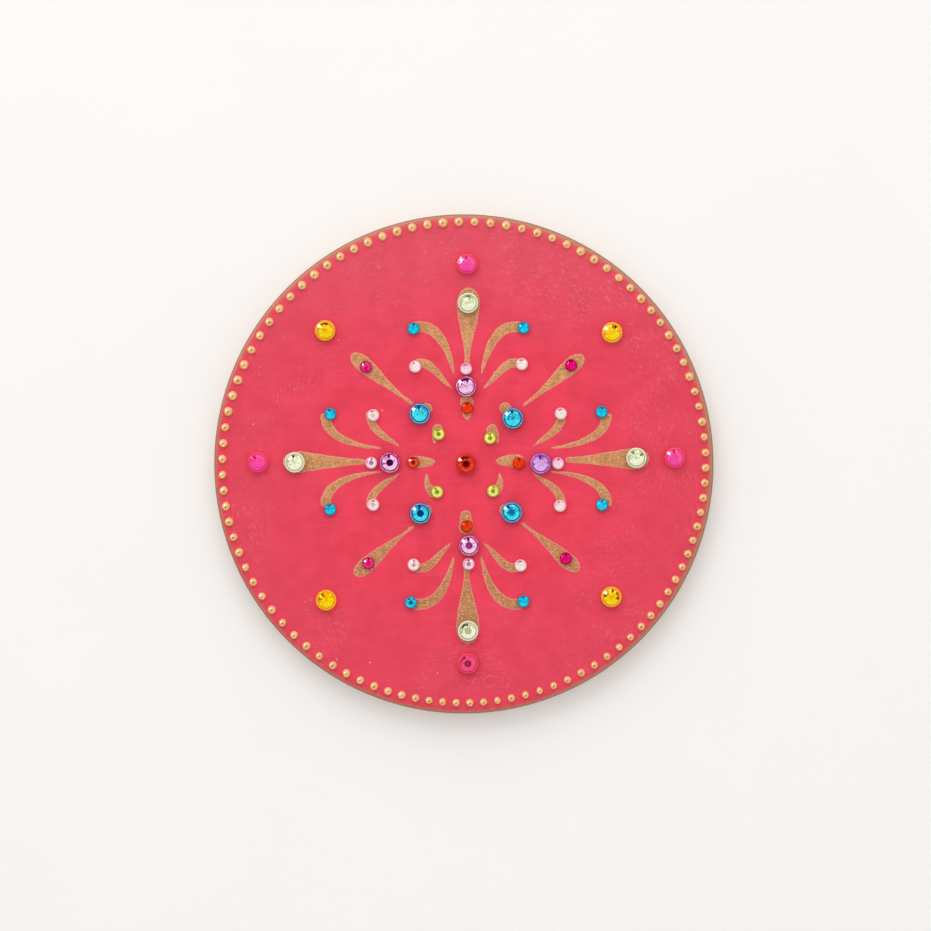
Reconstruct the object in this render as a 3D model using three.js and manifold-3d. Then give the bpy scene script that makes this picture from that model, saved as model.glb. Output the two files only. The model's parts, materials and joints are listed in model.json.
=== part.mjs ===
// A jewelled mandala disc: a thin painted board disc that lies flat, face up.
// Its upper face has a gold ground coat, a pink-red top coat with a window for each
// gold stroke, a ring of piped gold dots and 53 faceted flat-backed stones.
// Lengths are millimetres. +Z is up, +Y is the top of the mandala, and the origin
// is the centre of the flat back face.

import * as THREE from 'three';
import { mergeVertices } from 'three/addons/utils/BufferGeometryUtils.js';
import Module from 'manifold-3d';

// The board
const discDiameter = 120;
const discThickness = 5;
const edgeEase = 0.2;

// The two coats of paint on the upper face
const groundCoatThickness = 0.1;
const groundCoatMargin = 0.1;
const redCoatThickness = 0.15;
const redCoatMargin = 0.3;
const redCoatShiftLeft = 0.2;
const redCoatShiftDown = 0.15;

// The ring of piped dots, joined by a hair-thin guide line
const beadDiameter = 2.2;
const beadHeight = 0.9;
const beadPitch = 3.72;
const beadEdgeMargin = 0.4;
const guideLineWidth = 0.4;
const guideLineHeight = 0.1;

// The two sizes of stone
const largeStoneDiameter = 5;
const largeStoneHeight = 1.9;
const smallStoneDiameter = 3;
const smallStoneHeight = 1.3;

// How far a cutter runs past each face that it cuts
const cutOverrun = 1;

const discRadius = discDiameter / 2;
const groundCoatRadius = discRadius - edgeEase - groundCoatMargin;
const redCoatRadius = groundCoatRadius - redCoatMargin;
const beadRingRadius = redCoatRadius - beadEdgeMargin - beadDiameter / 2;
const groundCoatFloor = discThickness;
const redCoatFloor = groundCoatFloor + groundCoatThickness;
const faceLevel = redCoatFloor + redCoatThickness;

// Counts of flats round each round piece
const discSides = 96;
const beadSides = 6;
const dotSides = 12;
const strokeSteps = 6;
const strokeCapSteps = 6;

// How the hand-piped ring departs from an even one: the place of its first dot as a
// share of a turn, and waves that move the dots along the ring and off it. Each wave
// has its count in a turn, its size as a share of the ring's radius or of a dot's
// radius, and the share of a turn by which it is shifted.
const beadStartShare = 0.0136;
const beadCrowdingShares = [
  [1, 0.048, -0.39],
  [2, 0.011, -0.03],
  [3, 0.004, 0.37],
  [4, 0.006, -0.36],
  [5, 0.007, -0.05],
];
const beadWanderShares = [
  [1, 0.36, 0],
  [2, 0.14, 0.19],
  [3, 0.11, -0.41],
];

// Profile of a dot, from its flat foot to its top: share of its radius, share of its height
const beadProfileShares = [[0, 0], [1, 0], [0.8, 0.62], [0, 1]];

// Rings of a stone, from its flat back to its table: share of its radius, share of
// its height, and the share of one facet by which the ring is turned
const stoneRingShares = [[1, 0, 0], [1, 0.26, 0], [0.9, 0.72, 0.5], [0.74, 1, 0]];

// Stones on each arm. The small red stone is placed by its distance from the centre,
// and purple and lilac follow it outwards with gaps in shares of a small stone.
// Green and pink are placed by their distance, and every stone by its sideways place.
const armStoneShares = {
  north: { red: 0.224, purpleGap: 0.39, lilacGap: 0.07, green: 0.644, pink: 0.8 },
  east: { red: 0.219, purpleGap: 0.43, lilacGap: 0.06, green: 0.69, pink: 0.844 },
  south: { red: 0.249, purpleGap: 0.23, lilacGap: 0.14, green: 0.668, pink: 0.799 },
  west: { red: 0.203, purpleGap: 0.53, lilacGap: 0.16, green: 0.677, pink: 0.825 },
};
const armSidewaysShares = {
  north: { red: 0.013, purple: 0.009, lilac: 0.009, green: 0.017, pink: 0.013 },
  east: { red: 0.002, purple: 0.002, lilac: 0.002, green: 0.024, pink: 0.025 },
  south: { red: 0.012, purple: 0.021, lilac: 0.019, green: 0.017, pink: 0.016 },
  west: { red: 0.006, purple: 0.005, lilac: 0.004, green: 0.006, pink: 0.006 },
};

// Stones off the arms, as right and up shares of the disc's radius
const freeStoneShares = {
  centre_red: [0.009, 0],
  northwest_blue: [-0.176, 0.201],
  northeast_blue: [0.196, 0.182],
  southeast_blue: [0.192, -0.194],
  southwest_blue: [-0.174, -0.198],
  northwest_lime: [-0.101, 0.119],
  northeast_lime: [0.105, 0.103],
  southeast_lime: [0.117, -0.109],
  southwest_lime: [-0.107, -0.113],
  northwest_magenta: [-0.392, 0.388],
  northeast_magenta: [0.429, 0.395],
  southeast_magenta: [0.408, -0.378],
  southwest_magenta: [-0.382, -0.397],
  northwest_yellow: [-0.555, 0.534],
  northeast_yellow: [0.593, 0.526],
  southeast_yellow: [0.59, -0.532],
  southwest_yellow: [-0.551, -0.545],
  north_left_sky: [-0.202, 0.541],
  north_right_sky: [0.239, 0.545],
  east_upper_sky: [0.551, 0.208],
  east_lower_sky: [0.553, -0.164],
  south_right_sky: [0.239, -0.55],
  south_left_sky: [-0.212, -0.555],
  west_lower_sky: [-0.535, -0.182],
  west_upper_sky: [-0.534, 0.2],
  north_left_rose: [-0.195, 0.389],
  north_right_rose: [0.232, 0.399],
  east_upper_rose: [0.388, 0.201],
  east_lower_rose: [0.385, -0.168],
  south_right_rose: [0.227, -0.407],
  south_left_rose: [-0.201, -0.404],
  west_lower_rose: [-0.363, -0.164],
  west_upper_rose: [-0.363, 0.195],
};

// Each stone colour: its size and its look
const stoneKinds = {
  red: { large: false, color: 0xd9260c },
  purple: { large: true, color: 0xc08ad6 },
  lilac: { large: false, color: 0xe6c3e6 },
  green: { large: true, color: 0xd5e8a8 },
  pink: { large: true, color: 0xf0437e },
  blue: { large: true, color: 0x22b8d8 },
  lime: { large: false, color: 0xc5e84c },
  magenta: { large: false, color: 0xe0107a },
  yellow: { large: true, color: 0xf6c914 },
  sky: { large: false, color: 0x1cb4dc },
  rose: { large: false, color: 0xf3d3d3 },
};
const centreStone = { large: true, color: 0xc81a14 };

// Where the commas of each arm start, which way they point, and which form they have
const armStrokeShares = {
  north: { turn: 0.25, start: [0.0155, 0], form: 'upright' },
  east: { turn: 0, start: [0.018, 0.0165], form: 'level' },
  south: { turn: 0.75, start: [0.0145, -0.013], form: 'upright' },
  west: { turn: 0.5, start: [0, 0.0155], form: 'level' },
};

// A stroke's spine has four control points, from the head to the tail, and its half
// widths are control values from the head to the tail. The cap is the head's length
// past the spine and the tip is the tail's, each in half widths of that end.

// The large and the small comma on each side of an arm, whose points have their
// distance along the arm and their distance to the side
const armCommaShares = {
  upright: [
    {
      spine: [[0.548, 0.208], [0.563, 0.118], [0.458, 0.075], [0.362, 0.0557]],
      halfWidths: [0.022, 0.0255, 0.003],
      cap: 0.6,
      tip: 1,
    },
    {
      spine: [[0.402, 0.2015], [0.418, 0.15], [0.345, 0.115], [0.303, 0.064]],
      halfWidths: [0.0185, 0.022, 0.002],
      cap: 0.6,
      tip: 1,
    },
  ],
  level: [
    {
      spine: [[0.553, 0.175], [0.555, 0.1], [0.457, 0.0573], [0.332, 0.047]],
      halfWidths: [0.022, 0.0185, 0.003],
      cap: 0.6,
      tip: 1,
    },
    {
      spine: [[0.374, 0.185], [0.375, 0.11], [0.292, 0.084], [0.258, 0.053]],
      halfWidths: [0.0185, 0.0185, 0.002],
      cap: 0.6,
      tip: 1,
    },
  ],
};

// The other strokes, whose points have their right and up shares
const strokeShares = {
  uprightTeardrops: {
    spines: [
      [[0.0183, 0.642], [0.017, 0.56], [0.0141, 0.48], [0.0127, 0.395]],
      [[0.0163, -0.656], [0.0145, -0.574], [0.012, -0.494], [0.0101, -0.409]],
    ],
    halfWidths: [0.047, 0.046, 0.007, 0.0095],
    cap: 1.38,
    tip: 1,
  },
  levelTeardrops: {
    spines: [
      [[0.68, 0.021], [0.598, 0.0185], [0.508, 0.017], [0.413, 0.0155]],
      [[-0.662, 0.008], [-0.58, 0.0075], [-0.49, 0.008], [-0.395, 0.008]],
    ],
    halfWidths: [0.044, 0.034, 0.016, 0.0095],
    cap: 1.45,
    tip: 1,
  },
  diagonalTeardrops: {
    spines: [
      [[-0.405, 0.402], [-0.35, 0.356], [-0.29, 0.3], [-0.206, 0.241]],
      [[0.435, 0.397], [0.3815, 0.352], [0.3195, 0.294], [0.241, 0.236]],
      [[0.417, -0.39], [0.367, -0.348], [0.312, -0.296], [0.233, -0.238]],
      [[-0.393, -0.408], [-0.341, -0.363], [-0.281, -0.31], [-0.2025, -0.2515]],
    ],
    halfWidths: [0.0325, 0.0325, 0.004, 0.006],
    cap: 1.8,
    tip: 1,
  },
  petals: {
    spines: [
      [[0.0114, 0.249], [0.0114, 0.23], [0.012, 0.21], [0.013, 0.19]],
      [[0.215, 0.0134], [0.19, 0.013], [0.166, 0.012], [0.141, 0.0114]],
      [[-0.201, 0.007], [-0.177, 0.0074], [-0.153, 0.008], [-0.129, 0.0086]],
    ],
    halfWidths: [0.0265, 0.026, 0.015],
    cap: 1,
    tip: 1,
  },
  bluntPetals: {
    spines: [
      [[0.0102, -0.254], [0.009, -0.234], [0.0078, -0.214], [0.0066, -0.194]],
    ],
    halfWidths: [0.03, 0.0255, 0.019],
    cap: 1,
    tip: 0.5,
  },
  innerCommas: {
    spines: [
      [[-0.104, 0.138], [-0.112, 0.13], [-0.119, 0.113], [-0.118, 0.084]],
      [[0.111, 0.138], [0.1235, 0.129], [0.1325, 0.11], [0.1345, 0.084]],
      [[0.124, -0.11], [0.146, -0.094], [0.15, -0.066], [0.1431, -0.038]],
      [[-0.122, -0.112], [-0.143, -0.102], [-0.151, -0.077], [-0.148, -0.04]],
    ],
    halfWidths: [0.023, 0.015, 0.004],
    cap: 0.9,
    tip: 1,
  },
};
const dotShares = {
  places: [[-0.15, 0.222], [0.167, 0.223], [0.165, -0.184], [-0.15, -0.187]],
  radius: 0.024,
};

// A piece's material
function coat(color, roughness, metalness) {
  return new THREE.MeshStandardMaterial({ color, roughness, metalness });
}

// A named piece of the disc
function piece(name, geometry, material, z) {
  const mesh = new THREE.Mesh(geometry, material);
  mesh.name = name;
  mesh.position.z = z;
  return mesh;
}

// A solid of revolution about +Z from [radius, height] points that start and end on the axis
function turned(profile, sides) {
  const points = profile.map(([radius, height]) => new THREE.Vector2(radius, height));
  return new THREE.LatheGeometry(points, sides).rotateX(Math.PI / 2);
}

// A flat round film
function film(radius, thickness) {
  return turned([[0, 0], [radius, 0], [radius, thickness], [0, thickness]], discSides);
}

// A closed solid of stacked rings: each has its radius, its height and its turn in facets
function ringStack(rings, sides) {
  const positions = [];
  for (const [radius, height, turn] of rings) {
    for (let side = 0; side < sides; side += 1) {
      const angle = ((side + turn) / sides) * 2 * Math.PI;
      positions.push(radius * Math.cos(angle), radius * Math.sin(angle), height);
    }
  }
  const indices = [];
  for (let ring = 0; ring < rings.length - 1; ring += 1) {
    const leans = rings[ring + 1][2] > rings[ring][2];
    for (let side = 0; side < sides; side += 1) {
      const low = ring * sides + side;
      const lowNext = ring * sides + ((side + 1) % sides);
      const high = low + sides;
      const highNext = lowNext + sides;
      if (leans) {
        indices.push(low, lowNext, high, lowNext, highNext, high);
      } else {
        indices.push(low, lowNext, highNext, low, highNext, high);
      }
    }
  }
  const top = (rings.length - 1) * sides;
  for (let side = 1; side < sides - 1; side += 1) {
    indices.push(0, side + 1, side);
    indices.push(top, top + side, top + side + 1);
  }
  const geometry = new THREE.BufferGeometry();
  geometry.setAttribute('position', new THREE.Float32BufferAttribute(positions, 3));
  geometry.setIndex(indices);
  geometry.computeVertexNormals();
  return geometry;
}

const wasm = await Module();
wasm.setup();

// A closed geometry as a solid that can be joined and cut
function solid(geometry) {
  const bare = geometry.clone();
  bare.deleteAttribute('normal');
  bare.deleteAttribute('uv');
  const merged = mergeVertices(bare);
  return new wasm.Manifold(new wasm.Mesh({
    numProp: 3,
    vertProperties: Float32Array.from(merged.attributes.position.array),
    triVerts: Uint32Array.from(merged.index.array),
  }));
}

// A solid as a geometry again
function geometryOf(body) {
  const mesh = body.getMesh();
  const geometry = new THREE.BufferGeometry();
  geometry.setAttribute('position', new THREE.BufferAttribute(mesh.vertProperties, 3));
  geometry.setIndex(new THREE.BufferAttribute(mesh.triVerts, 1));
  geometry.computeVertexNormals();
  return geometry;
}

// A width along a stroke, from control values that start at its head
function blend(values, t) {
  if (values.length === 1) return values[0];
  const closer = values.slice(1).map((value, i) => values[i] + (value - values[i]) * t);
  return blend(closer, t);
}

// The outline of a stroke: round its head, down one side, past its tail and back up
function strokeOutline(spinePoints, halfWidths, cap, tip) {
  const spine = new THREE.CubicBezierCurve(...spinePoints);
  const outline = [];
  const at = (t, along, across) => {
    const point = spine.getPoint(t);
    const ahead = spine.getTangent(t);
    const side = new THREE.Vector2(-ahead.y, ahead.x);
    outline.push(point.addScaledVector(ahead, along).addScaledVector(side, across));
  };
  for (let step = 0; step < strokeCapSteps; step += 1) {
    const angle = (step / strokeCapSteps) * Math.PI;
    const headWidth = halfWidths[0];
    at(0, -headWidth * cap * Math.sin(angle), -headWidth * Math.cos(angle));
  }
  for (let step = 0; step < strokeSteps; step += 1) {
    const t = step / strokeSteps;
    at(t, 0, blend(halfWidths, t));
  }
  const tailWidth = blend(halfWidths, 1);
  at(1, 0, tailWidth);
  at(1, tailWidth * tip, 0);
  at(1, 0, -tailWidth);
  for (let step = strokeSteps - 1; step > 0; step -= 1) {
    const t = step / strokeSteps;
    at(t, 0, -blend(halfWidths, t));
  }
  return outline;
}

// A cutter that goes through the red coat, from an outline
function cutter(shape) {
  const depth = redCoatThickness + 2 * cutOverrun;
  const options = { depth, bevelEnabled: false, curveSegments: dotSides };
  return solid(new THREE.ExtrudeGeometry(shape, options).translate(0, 0, -cutOverrun));
}

// The cutter of one stroke, whose spine and half widths are shares of the disc's radius
function strokeCutter(spineShares, form) {
  const spine = spineShares.map(([right, up]) => {
    return new THREE.Vector2(right, up).multiplyScalar(discRadius);
  });
  const halfWidths = form.halfWidths.map((share) => share * discRadius);
  return cutter(new THREE.Shape(strokeOutline(spine, halfWidths, form.cap, form.tip)));
}

// A place on an arm as right and up shares
function armPlace(arm, [along, across]) {
  const place = new THREE.Vector2(along, across);
  place.rotateAround(new THREE.Vector2(), arm.turn * 2 * Math.PI);
  return [place.x + arm.start[0], place.y + arm.start[1]];
}

// The cutters of one arm's commas, which are drawn on both its sides
function armCutters(arm) {
  return armCommaShares[arm.form].flatMap((comma) => {
    return [1, -1].map((side) => {
      const places = comma.spine.map(([along, across]) => armPlace(arm, [along, side * across]));
      return strokeCutter(places, comma);
    });
  });
}

// The cutter of one round dot
function dotCutter([right, up]) {
  const shape = new THREE.Shape();
  shape.absarc(right * discRadius, up * discRadius, dotShares.radius * discRadius, 0, 2 * Math.PI);
  return cutter(shape);
}

// The red coat: a film, a little off centre, with a window for each stroke
function redCoatGeometry() {
  const coatFilm = film(redCoatRadius, redCoatThickness);
  let body = solid(coatFilm.translate(-redCoatShiftLeft, -redCoatShiftDown, 0));
  const cutters = Object.values(armStrokeShares).flatMap(armCutters);
  for (const form of Object.values(strokeShares)) {
    cutters.push(...form.spines.map((spine) => strokeCutter(spine, form)));
  }
  cutters.push(...dotShares.places.map(dotCutter));
  for (const stroke of cutters) {
    body = body.subtract(stroke);
  }
  return geometryOf(body);
}

// The sum of a table of waves at an angle
function waveSum(waveShares, angle) {
  return waveShares.reduce(
    (sum, [count, share, turn]) => sum + share * Math.sin(count * angle + turn * 2 * Math.PI),
    0,
  );
}

// The centre of each piped dot
function beadPlaces() {
  const count = Math.round((2 * Math.PI * beadRingRadius) / beadPitch);
  return Array.from({ length: count }, (_, index) => {
    const even = (index / count) * 2 * Math.PI;
    const start = beadStartShare * 2 * Math.PI;
    const angle = start + even + waveSum(beadCrowdingShares, even);
    const radius = beadRingRadius + (beadDiameter / 2) * waveSum(beadWanderShares, even);
    return new THREE.Vector2(radius * Math.cos(angle), radius * Math.sin(angle));
  });
}

// The guide line, which turns under each dot
function guideLineGeometry(places) {
  const edge = (offset) => places.map((place) => place.clone().setLength(place.length() + offset));
  const shape = new THREE.Shape(edge(guideLineWidth / 2));
  shape.holes.push(new THREE.Path(edge(-guideLineWidth / 2)));
  return new THREE.ExtrudeGeometry(shape, { depth: guideLineHeight, bevelEnabled: false });
}

// The ring of piped dots on its guide line
function beadBorderGeometry() {
  const places = beadPlaces();
  const profile = beadProfileShares.map(([radiusShare, heightShare]) => [
    (radiusShare * beadDiameter) / 2,
    heightShare * beadHeight,
  ]);
  let body = solid(guideLineGeometry(places));
  for (const place of places) {
    body = body.add(solid(turned(profile, beadSides).translate(place.x, place.y, 0)));
  }
  return geometryOf(body);
}

// The facets round a stone of either size
function stoneSides(large) {
  return large ? 12 : 10;
}

// A flat-backed stone with a faceted crown and a flat table
function stoneGeometry(large) {
  const radius = (large ? largeStoneDiameter : smallStoneDiameter) / 2;
  const height = large ? largeStoneHeight : smallStoneHeight;
  const rings = stoneRingShares.map(([radiusShare, heightShare, turn]) => [
    radiusShare * radius,
    heightShare * height,
    turn,
  ]);
  return ringStack(rings, stoneSides(large));
}

// A named stone on the face
function stone(name, kind, x, y) {
  const mesh = piece(name, stoneGeometry(kind.large), coat(kind.color, 0.12, 0.1), faceLevel);
  mesh.position.x = x;
  mesh.position.y = y;
  return mesh;
}

// The five stones along one arm, from the small red one outwards
function armStones(armName) {
  const shares = armStoneShares[armName];
  const sideways = armSidewaysShares[armName];
  const reach = (smallStoneDiameter + largeStoneDiameter) / 2;
  const redPlace = shares.red * discRadius;
  const purplePlace = redPlace + reach + shares.purpleGap * smallStoneDiameter;
  const places = {
    red: redPlace,
    purple: purplePlace,
    lilac: purplePlace + reach + shares.lilacGap * smallStoneDiameter,
    green: shares.green * discRadius,
    pink: shares.pink * discRadius,
  };
  const { turn } = armStrokeShares[armName];
  const angle = turn * 2 * Math.PI;
  return Object.entries(places).map(([color, along]) => {
    const offset = sideways[color] * discRadius;
    const x = along * Math.cos(angle) + offset * Math.abs(Math.sin(angle));
    const y = along * Math.sin(angle) + offset * Math.abs(Math.cos(angle));
    return stone(`stone_${armName}_${color}`, stoneKinds[color], x, y);
  });
}

// The stones off the arms, whose names end in their colour
function freeStones() {
  return Object.entries(freeStoneShares).map(([name, [right, up]]) => {
    const color = name.split('_').pop();
    const kind = name === 'centre_red' ? centreStone : stoneKinds[color];
    return stone(`stone_${name}`, kind, right * discRadius, up * discRadius);
  });
}

// The board, with its two rims eased
function discGeometry() {
  return turned([
    [0, 0],
    [discRadius - edgeEase, 0],
    [discRadius, edgeEase],
    [discRadius, discThickness - edgeEase],
    [discRadius - edgeEase, discThickness],
    [0, discThickness],
  ], discSides);
}

const boardWood = coat(0x8a6444, 0.85, 0);
const goldPaint = coat(0xc8935f, 0.5, 0.3);
const redPaint = coat(0xe9475e, 0.6, 0);
const beadPaint = coat(0xeba87a, 0.3, 0.4);
const groundCoatGeometry = film(groundCoatRadius, groundCoatThickness);

const mandalaDisc = new THREE.Group();
mandalaDisc.add(
  piece('wooden_disc', discGeometry(), boardWood, 0),
  piece('gold_ground_coat', groundCoatGeometry, goldPaint, groundCoatFloor),
  piece('red_top_coat', redCoatGeometry(), redPaint, redCoatFloor),
  piece('gold_bead_border', beadBorderGeometry(), beadPaint, faceLevel),
  ...Object.keys(armStoneShares).flatMap(armStones),
  ...freeStones(),
);

export default mandalaDisc;
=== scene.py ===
import json
import math
import random

import bpy
from mathutils import Matrix, Vector, geometry, kdtree, noise


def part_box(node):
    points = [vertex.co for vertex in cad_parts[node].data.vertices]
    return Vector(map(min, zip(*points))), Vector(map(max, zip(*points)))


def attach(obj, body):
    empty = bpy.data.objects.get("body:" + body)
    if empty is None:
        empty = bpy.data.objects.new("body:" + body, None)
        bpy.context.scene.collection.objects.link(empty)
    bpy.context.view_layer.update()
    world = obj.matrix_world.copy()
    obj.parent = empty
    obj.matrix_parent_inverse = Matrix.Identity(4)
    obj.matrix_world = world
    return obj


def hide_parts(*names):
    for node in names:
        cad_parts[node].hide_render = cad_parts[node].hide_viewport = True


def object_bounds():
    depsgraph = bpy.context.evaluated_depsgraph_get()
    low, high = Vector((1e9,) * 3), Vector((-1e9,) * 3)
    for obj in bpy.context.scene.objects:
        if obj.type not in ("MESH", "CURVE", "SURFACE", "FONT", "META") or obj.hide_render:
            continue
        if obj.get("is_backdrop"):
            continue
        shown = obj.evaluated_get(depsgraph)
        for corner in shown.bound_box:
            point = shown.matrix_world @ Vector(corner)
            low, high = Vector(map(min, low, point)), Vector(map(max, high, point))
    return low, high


# The looks of a jewelled mandala disc: a round board with a pink-red painted face, gold
# strokes, a ring of piped gold dots and 53 faceted foil-backed stones.
# Lengths are metres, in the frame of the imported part: +Z is up, +Y is the mandala's top.

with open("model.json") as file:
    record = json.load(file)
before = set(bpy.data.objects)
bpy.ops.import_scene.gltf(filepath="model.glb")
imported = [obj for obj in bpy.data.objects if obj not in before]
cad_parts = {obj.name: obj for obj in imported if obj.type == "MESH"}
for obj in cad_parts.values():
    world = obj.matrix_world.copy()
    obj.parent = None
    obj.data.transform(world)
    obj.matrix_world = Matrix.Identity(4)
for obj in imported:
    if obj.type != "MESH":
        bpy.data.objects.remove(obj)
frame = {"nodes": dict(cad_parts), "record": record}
cad_low, cad_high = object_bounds()

MM = 0.001
TURN = 2 * math.pi

# Heights and radii of the board and its two coats, from the frame
BOARD_LOW, BOARD_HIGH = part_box("wooden_disc")
GROUND_LOW, GROUND_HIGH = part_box("gold_ground_coat")
RED_LOW, RED_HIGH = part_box("red_top_coat")
DOTS_LOW, DOTS_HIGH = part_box("gold_bead_border")
BOARD_RADIUS = (BOARD_HIGH.x - BOARD_LOW.x) / 2
GROUND_RADIUS = (GROUND_HIGH.x - GROUND_LOW.x) / 2
RED_RADIUS = (RED_HIGH.x - RED_LOW.x) / 2
RED_CENTRE = ((RED_LOW + RED_HIGH) / 2).to_2d()
FACE = RED_HIGH.z

# The photograph: its width in pixels, where the disc's centre lies in it, and the disc's
# radius. Then the camera's height over the board, and the width of its sensor.
PHOTO_PIXELS = 931
DISC_CENTRE_PIXELS = (463.86, 463.88)
DISC_RADIUS_PIXELS = 249.71
CAMERA_HEIGHT = 1200 * MM
SENSOR_WIDTH = 36 * MM

# How finely the surfaces are divided: points round a rim, along an outline and inside it,
# where they stray by a share of their step
RIM_SIDES = 720
INNER_SIDES = 480
OUTLINE_STEP = 0.16 * MM
STROKE_POINT_STEP = 0.3 * MM
COAT_POINT_STEP = 1.1 * MM
JITTER = 0.3

# Lengths too small to see, which tell points apart. A triangulation is made in millimetres.
WELD = 0.001 * MM
MERGE_MM = 0.00001

# How wide the eased rims of the board are, and how deep its cut edge is ridged
BOARD_EASE = 0.22 * MM
BOARD_RIDGE = 0.05 * MM

# How deep the rim of the gold ground is nicked, and how far apart the nicks are
GROUND_NICK = 0.05 * MM
GROUND_NICK_SIZE = 2.5 * MM

# How ragged the edge of a stroke is, and how far apart its nicks are
EDGE_RAGGEDNESS = 0.15 * MM
EDGE_NICK_SIZE = 0.5 * MM

# The red coat's relief, the width of its rounded edge, and how far it reaches past its solid
COAT_RELIEF = 0.035 * MM
COAT_RELIEF_SIZE = 3 * MM
COAT_EDGE_WIDTH = 0.22 * MM
RIM_REACH = 0.08 * MM
RIM_WEAR_SIZE = 1.5 * MM

# How far a gold stroke rises over its rounded shoulder, how wide that is, and its relief
STROKE_RISE = 0.05 * MM
STROKE_SHOULDER = 0.35 * MM
STROKE_RELIEF = 0.3 * STROKE_RISE
STROKE_RELIEF_SIZE = 0.5 * MM

# A piped dot's points round it, its radius, where it lies beside the solid's dot, the side of
# the ring on which the dots are broader, and how deep its dimple is as a share of its height
DOT_SIDES = 24
DOT_RADIUS = 1.09 * MM
DOT_SAG = Vector((0.08, -0.13)) * MM
BROAD_WAY = Vector((-0.42, 0.91))
DIMPLE_DEPTH = 0.1

# The strength of the white surround at the foot and at the top of the mandala
SURROUND_LOW = 0.68
SURROUND_HIGH = 0.98


def colour(code):
    """A colour written as six hex digits, as the linear values that a shader reads."""
    parts = [int(code[i : i + 2], 16) / 255 for i in (0, 2, 4)]
    linear = [p / 12.92 if p <= 0.04045 else ((p + 0.055) / 1.055) ** 2.4 for p in parts]
    return (*linear, 1)


class Finish:
    """A node-based material. Its methods add nodes and return the socket that holds the result."""

    def __init__(self, name, **sockets):
        self.material = bpy.data.materials.new(name)
        self.material.use_nodes = True
        self.tree = self.material.node_tree
        self.shader = self.tree.nodes["Principled BSDF"]
        for socket, value in sockets.items():
            self.shader.inputs[socket.replace("_", " ")].default_value = value

    def feed(self, socket, value):
        if isinstance(value, bpy.types.NodeSocket):
            self.tree.links.new(value, socket)
        else:
            socket.default_value = value

    def node(self, kind, inputs, output=0, **settings):
        made = self.tree.nodes.new(kind)
        for name, value in settings.items():
            setattr(made, name, value)
        for socket, value in inputs.items():
            self.feed(made.inputs[socket], value)
        return made.outputs[output]

    def place(self):
        return self.node("ShaderNodeTexCoord", {}, "Object")

    def attribute(self, name):
        return self.node("ShaderNodeAttribute", {}, "Fac", attribute_name=name)

    def mapped(self, vector, scale=(1, 1, 1), turn=0.0):
        inputs = {"Vector": vector, "Scale": scale, "Rotation": (0, 0, turn)}
        return self.node("ShaderNodeMapping", inputs)

    def sum(self, a, b):
        return self.node("ShaderNodeMath", {0: a, 1: b}, operation="ADD")

    def product(self, a, b):
        return self.node("ShaderNodeMath", {0: a, 1: b}, operation="MULTIPLY")

    def noise(self, vector, size, detail=3.0, roughness=0.55):
        inputs = {"Vector": vector, "Scale": 1 / size, "Detail": detail, "Roughness": roughness}
        return self.node("ShaderNodeTexNoise", inputs)

    def spots(self, vector, size):
        return self.node("ShaderNodeTexVoronoi", {"Vector": vector, "Scale": 1 / size})

    def step(self, value, start, end, low=0.0, high=1.0):
        """A smooth step from low, where value is start, to high, where it is end."""
        inputs = {"Value": value, "From Min": start, "From Max": end, "To Min": low, "To Max": high}
        return self.node("ShaderNodeMapRange", inputs, interpolation_type="SMOOTHSTEP")

    def ramp(self, value, colours):
        """A blend through evenly spaced colours as value runs from 0 to 1."""
        made = self.tree.nodes.new("ShaderNodeValToRGB")
        stops = made.color_ramp.elements
        for i, shade in enumerate(colours[1:-1], 1):
            stops.new(i / (len(colours) - 1)).color = shade
        stops[0].color, stops[-1].color = colours[0], colours[-1]
        self.feed(made.inputs["Fac"], value)
        return made.outputs["Color"]

    def blend(self, share, a, b):
        inputs = {0: share, 6: a, 7: b}
        return self.node("ShaderNodeMix", inputs, 2, data_type="RGBA")

    def tint(self, base, share, code):
        """The base with a share of another colour over it."""
        return self.blend(share, base, colour(code))

    def mottle(self, value, first, second, low=0.35, high=0.65):
        """The first colour where value is low, and the second where it is high."""
        return self.blend(self.step(value, low, high), colour(first), colour(second))

    def part(self, vector, axis):
        return self.node("ShaderNodeSeparateXYZ", {"Vector": vector}, axis)

    def radius(self, vector):
        flat = self.mapped(vector, (1, 1, 0))
        return self.node("ShaderNodeVectorMath", {0: flat}, "Value", operation="LENGTH")

    def round_and_round(self, vector, stretch):
        """Coordinates for streaks that run round the disc, stretch times as long as they are wide."""
        flat = self.mapped(vector, (1, 1, 0))
        way = self.node("ShaderNodeVectorMath", {0: flat}, operation="NORMALIZE")
        along = self.mapped(way, (BOARD_RADIUS / stretch, BOARD_RADIUS / stretch, 0))
        height = self.node("ShaderNodeCombineXYZ", {"Z": self.radius(vector)})
        return self.node("ShaderNodeVectorMath", {0: along, 1: height}, operation="ADD")

    def bump(self, height, distance, strength):
        inputs = {"Height": height, "Distance": distance, "Strength": strength}
        self.feed(self.shader.inputs["Normal"], self.node("ShaderNodeBump", inputs))

    def paint(self, value):
        self.feed(self.shader.inputs["Base Color"], value)

    def roughness(self, value):
        self.feed(self.shader.inputs["Roughness"], value)


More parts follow.
